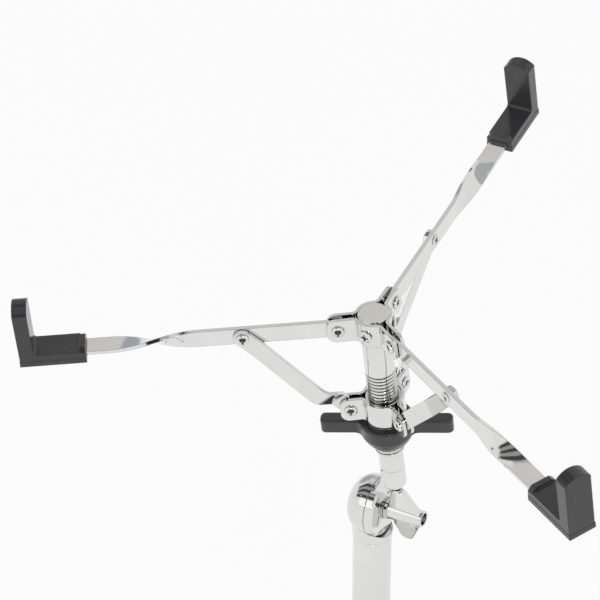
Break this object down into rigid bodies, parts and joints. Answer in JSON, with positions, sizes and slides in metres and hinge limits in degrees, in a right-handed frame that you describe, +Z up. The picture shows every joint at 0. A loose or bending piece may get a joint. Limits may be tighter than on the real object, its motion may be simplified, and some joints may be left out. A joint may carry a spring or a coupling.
{
  "type": "snare drum stand",
  "caption": "Chromed folding stand with a rubber-clawed basket that closes on a snare drum, a ratchet tilter, a telescopic post and a folding tripod base.",
  "frame": {"origin": "on the floor, below the axis of the post", "axes": "+Z up along the post, +X along the tilter axis towards its wing nut; the basket leans towards -Y"},
  "size_m": [0.4598, 0.4321, 0.702],
  "materials": {
    "chrome": "polished plating",
    "rubber": "satin moulded rubber",
    "plastic": "satin moulded plastic",
    "nylon": "satin nylon",
    "steel": "plain steel"
  },
  "bodies": {
    "base": {"base_tube": "chrome", "base_plug": "rubber", "bottom_bracket": "chrome", "height_clamp": "chrome", "clamp_bush": "nylon"},
    "clamp_wing": {"clamp_wing_bolt": "chrome"},
    "collar": {"leg_collar": "chrome", "collar_rivets": "chrome"},
    "collar_wing": {"collar_wing_bolt": "chrome"},
    "post": {"post_tube": "chrome", "memory_lock": "chrome", "tilter_base": "chrome", "tilter_bolt": "chrome"},
    "tilter_wing": {"tilter_wing_nut": "chrome"},
    "basket": {"tilter_head": "chrome", "tilter_washer": "chrome", "basket_rod": "chrome", "threaded_sleeve": "chrome", "sleeve_cap": "chrome", "top_plate_1": "chrome", "top_plate_2": "chrome", "top_plate_3": "chrome", "top_plate_screws": "chrome", "arm_rivets": "chrome"},
    "slider": {"slider_ring": "chrome", "slider_plate_1": "chrome", "slider_plate_2": "chrome", "slider_plate_3": "chrome", "slider_rivets": "chrome", "nut_washer": "chrome"},
    "nut": {"basket_nut": "plastic", "nut_insert": "steel"},
    "arm_1": {"arm_1": "chrome", "grip_1": "rubber", "link_rivet_1": "chrome"},
    "link_1": {"link_1": "chrome"},
    "arm_2": {"arm_2": "chrome", "grip_2": "rubber", "link_rivet_2": "chrome"},
    "link_2": {"link_2": "chrome"},
    "arm_3": {"arm_3": "chrome", "grip_3": "rubber", "link_rivet_3": "chrome"},
    "link_3": {"link_3": "chrome"},
    "leg_1": {"leg_1": "chrome", "foot_1": "rubber", "leg_rivet_1": "chrome"},
    "strut_1": {"strut_1": "chrome", "strut_rivet_1": "chrome"},
    "leg_2": {"leg_2": "chrome", "foot_2": "rubber", "leg_rivet_2": "chrome"},
    "strut_2": {"strut_2": "chrome", "strut_rivet_2": "chrome"},
    "leg_3": {"leg_3": "chrome", "foot_3": "rubber", "leg_rivet_3": "chrome"},
    "strut_3": {"strut_3": "chrome", "strut_rivet_3": "chrome"}
  },
  "joints": [
    {"name": "height_slide", "type": "slide", "parent": "base", "child": "post", "axis": [0, 0, 1], "range_m": [0, 0.1]},
    {"name": "tilt_hinge", "type": "hinge", "parent": "post", "child": "basket", "pos_m": [0, 0, 0.448], "axis": [1, 0, 0], "range_deg": [-43, 32]},
    {"name": "slider_slide", "type": "slide", "parent": "basket", "child": "slider", "axis": [0, -0.225, 0.9744], "range_m": [0, 0.02766]},
    {"name": "nut_turn", "type": "hinge", "parent": "slider", "child": "nut", "pos_m": [0.0185, -0.02208, 0.54363], "axis": [0, -0.225, 0.9744], "range_deg": [0, 3622]},
    {"name": "fold_slide", "type": "slide", "parent": "base", "child": "collar", "axis": [0, 0, 1], "range_m": [0, 0.07015]},
    {"name": "tilter_wing_turn", "type": "hinge", "parent": "post", "child": "tilter_wing", "pos_m": [0, 0, 0.448], "axis": [1, 0, 0], "continuous": true},
    {"name": "clamp_wing_turn", "type": "hinge", "parent": "base", "child": "clamp_wing", "pos_m": [0.01465, 0.02537, 0.317], "axis": [0.866, -0.5, 0], "continuous": true},
    {"name": "collar_wing_turn", "type": "hinge", "parent": "collar", "child": "collar_wing", "pos_m": [0, 0, 0.21499], "axis": [0, 1, 0], "continuous": true},
    {"name": "arm_1_hinge", "type": "hinge", "parent": "basket", "child": "arm_1", "pos_m": [0.0185, -0.01557, 0.61457], "axis": [1, 0, 0], "range_deg": [0, 43.21]},
    {"name": "link_1_hinge", "type": "hinge", "parent": "arm_1", "child": "link_1", "pos_m": [0.0185, 0.04022, 0.62931], "axis": [1, 0, 0], "range_deg": [-30.4, 0]},
    {"name": "arm_2_hinge", "type": "hinge", "parent": "basket", "child": "arm_2", "pos_m": [-0.00081, -0.04816, 0.60704], "axis": [-0.5, 0.8438, 0.1948], "range_deg": [0, 43.21]},
    {"name": "link_2_hinge", "type": "hinge", "parent": "arm_2", "child": "link_2", "pos_m": [-0.05076, -0.07667, 0.60232], "axis": [-0.5, 0.8438, 0.1948], "range_deg": [-30.4, 0]},
    {"name": "arm_3_hinge", "type": "hinge", "parent": "basket", "child": "arm_3", "pos_m": [0.03781, -0.04816, 0.60704], "axis": [-0.5, -0.8438, -0.1948], "range_deg": [0, 43.21]},
    {"name": "link_3_hinge", "type": "hinge", "parent": "arm_3", "child": "link_3", "pos_m": [0.08776, -0.07667, 0.60232], "axis": [-0.5, -0.8438, -0.1948], "range_deg": [-30.4, 0]},
    {"name": "leg_1_hinge", "type": "hinge", "parent": "collar", "child": "leg_1", "pos_m": [0, -0.027, 0.21499], "axis": [1, 0, 0], "range_deg": [0, 41.71]},
    {"name": "strut_1_hinge", "type": "hinge", "parent": "leg_1", "child": "strut_1", "pos_m": [0, -0.10924, 0.1375], "axis": [-1, 0, 0], "range_deg": [0, 83.41]},
    {"name": "leg_2_hinge", "type": "hinge", "parent": "collar", "child": "leg_2", "pos_m": [0.02338, 0.0135, 0.21499], "axis": [-0.5, 0.866, 0], "range_deg": [0, 41.71]},
    {"name": "strut_2_hinge", "type": "hinge", "parent": "leg_2", "child": "strut_2", "pos_m": [0.0946, 0.05462, 0.1375], "axis": [0.5, -0.866, 0], "range_deg": [0, 83.41]},
    {"name": "leg_3_hinge", "type": "hinge", "parent": "collar", "child": "leg_3", "pos_m": [-0.02338, 0.0135, 0.21499], "axis": [-0.5, -0.866, 0], "range_deg": [0, 41.71]},
    {"name": "strut_3_hinge", "type": "hinge", "parent": "leg_3", "child": "strut_3", "pos_m": [-0.0946, 0.05462, 0.1375], "axis": [0.5, 0.866, 0], "range_deg": [0, 83.41]}
  ],
  "couplings": [
    {"joint": "nut_turn", "follows": "slider_slide", "rad_per_m": 2284.8},
    {"joint": "arm_1_hinge", "follows": "slider_slide", "rad_per_m": 27.258},
    {"joint": "link_1_hinge", "follows": "slider_slide", "rad_per_m": -19.173},
    {"joint": "arm_2_hinge", "follows": "slider_slide", "rad_per_m": 27.258},
    {"joint": "link_2_hinge", "follows": "slider_slide", "rad_per_m": -19.173},
    {"joint": "arm_3_hinge", "follows": "slider_slide", "rad_per_m": 27.258},
    {"joint": "link_3_hinge", "follows": "slider_slide", "rad_per_m": -19.173},
    {"joint": "leg_1_hinge", "follows": "fold_slide", "rad_per_m": 10.376},
    {"joint": "strut_1_hinge", "follows": "fold_slide", "rad_per_m": 20.751},
    {"joint": "leg_2_hinge", "follows": "fold_slide", "rad_per_m": 10.376},
    {"joint": "strut_2_hinge", "follows": "fold_slide", "rad_per_m": 20.751},
    {"joint": "leg_3_hinge", "follows": "fold_slide", "rad_per_m": 10.376},
    {"joint": "strut_3_hinge", "follows": "fold_slide", "rad_per_m": 20.751}
  ]
}
